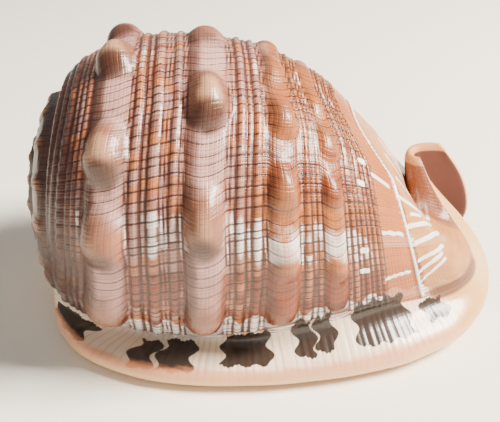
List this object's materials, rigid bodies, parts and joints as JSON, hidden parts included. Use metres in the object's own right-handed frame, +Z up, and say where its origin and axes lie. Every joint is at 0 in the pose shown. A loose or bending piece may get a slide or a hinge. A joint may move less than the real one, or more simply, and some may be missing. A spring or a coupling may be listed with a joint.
{
  "type": "helmet shell",
  "caption": "Large right-handed helmet shell resting on its mouth, with knobbed spiral bands, a thick flared lip, a broad shield and an upturned canal.",
  "frame": {"origin": "centre of the bounding box in X and Y, on the plane that the shell rests on", "axes": "+X from the apex to the canal, the outer lip is at -Y and the shield at +Y, +Z up from the resting plane"},
  "size_m": [0.155, 0.1062, 0.0941],
  "materials": {
    "glazed_shell": "natural shell, satin over the ribs and glossy on the lip, salmon and white with dark blotches on the lip"
  },
  "bodies": {
    "root": {"helmet_shell": "glazed_shell"}
  },
  "joints": []
}
